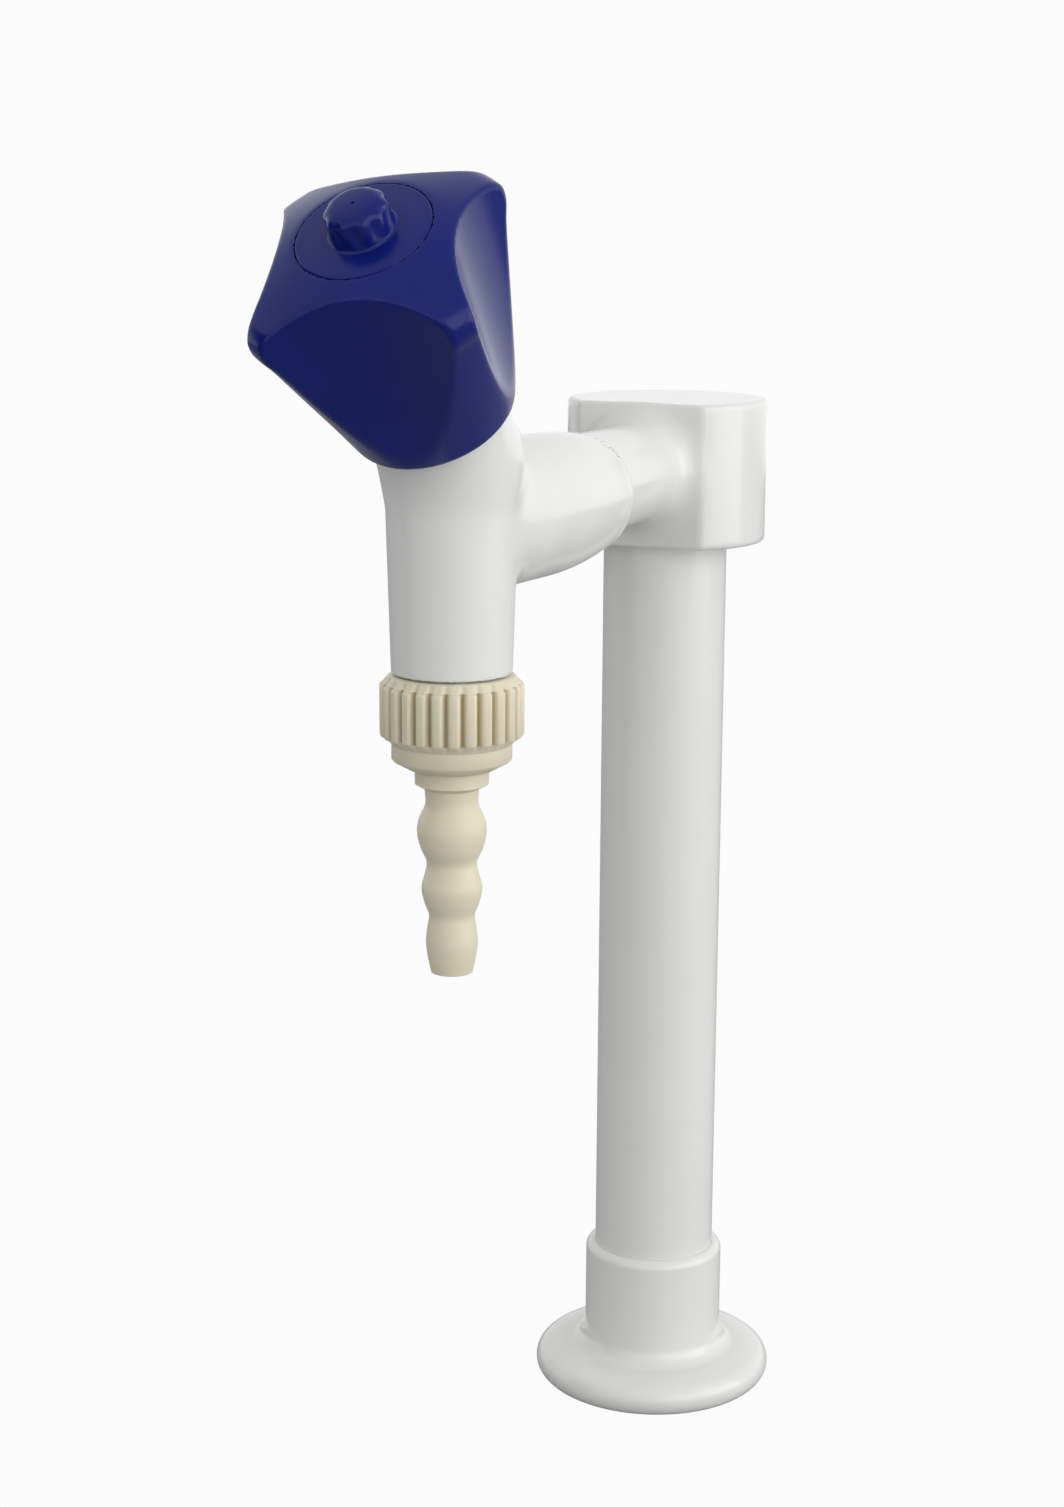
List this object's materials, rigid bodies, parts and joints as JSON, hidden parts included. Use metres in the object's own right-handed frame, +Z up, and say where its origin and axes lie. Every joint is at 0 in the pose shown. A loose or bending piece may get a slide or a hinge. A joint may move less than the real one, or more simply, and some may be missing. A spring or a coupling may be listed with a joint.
{
  "type": "laboratory bench tap",
  "caption": "Bench-mounted laboratory water tap: round flanged foot, column, side arm, Y-shaped valve body, four-lobed knob and barbed hose nozzle.",
  "frame": {"origin": "centre of the foot flange's underside, on the bench", "axes": "+Z up along the column, -Y along the arm towards the outlet, +X to the right of someone who stands at the outlet's side and looks along +Y"},
  "size_m": [0.056, 0.1896, 0.2861],
  "materials": {
    "white_enamel": "glossy white epoxy coating on cast brass",
    "blue_knob": "glossy moulded plastic",
    "cream_plastic": "satin moulded plastic",
    "white_washer": "plain low-friction plastic",
    "brass": "machined",
    "steel": "machined stainless",
    "black_rubber": "matt moulded"
  },
  "bodies": {
    "stand": {"base_flange": "white_enamel", "base_gasket": "black_rubber", "inlet_bush": "brass", "column_foot_seal": "black_rubber", "column_tube": "white_enamel", "column_head_seal": "black_rubber", "column_head": "white_enamel", "arm_seal": "black_rubber", "valve_body": "white_enamel", "valve_seat": "steel", "headwork_body": "brass", "headwork_gasket": "black_rubber", "thrust_washer": "white_washer"},
    "handle": {"knob": "blue_knob", "knob_screw": "steel", "index_cap": "blue_knob", "spindle": "brass", "spindle_ring_lower": "black_rubber", "spindle_ring_upper": "black_rubber", "spindle_clip": "steel"},
    "jumper_set": {"jumper": "brass", "jumper_washer": "black_rubber", "washer_screw": "steel"},
    "nozzle_set": {"hose_nozzle": "cream_plastic", "nozzle_gasket": "black_rubber"},
    "nut": {"union_nut": "cream_plastic"}
  },
  "joints": [
    {"name": "knob_turn", "type": "hinge", "parent": "stand", "child": "handle", "pos_m": [0, -0.1121, 0.2325], "axis": [0, -0.6347, 0.7727], "range_deg": [0, 720]},
    {"name": "jumper_lift", "type": "slide", "parent": "stand", "child": "jumper_set", "axis": [0, -0.6347, 0.7727], "range_m": [0, 0.0035]},
    {"name": "nozzle_drop", "type": "slide", "parent": "stand", "child": "nozzle_set", "axis": [0, 0, -1], "range_m": [0, 0.00544]},
    {"name": "nut_turn", "type": "hinge", "parent": "nozzle_set", "child": "nut", "pos_m": [0, -0.1121, 0.182], "axis": [0, 0, -1], "range_deg": [0, 1080]}
  ],
  "couplings": [
    {"joint": "jumper_lift", "follows": "knob_turn", "m_per_rad": 0.0002785},
    {"joint": "nut_turn", "follows": "nozzle_drop", "rad_per_m": 3464}
  ]
}
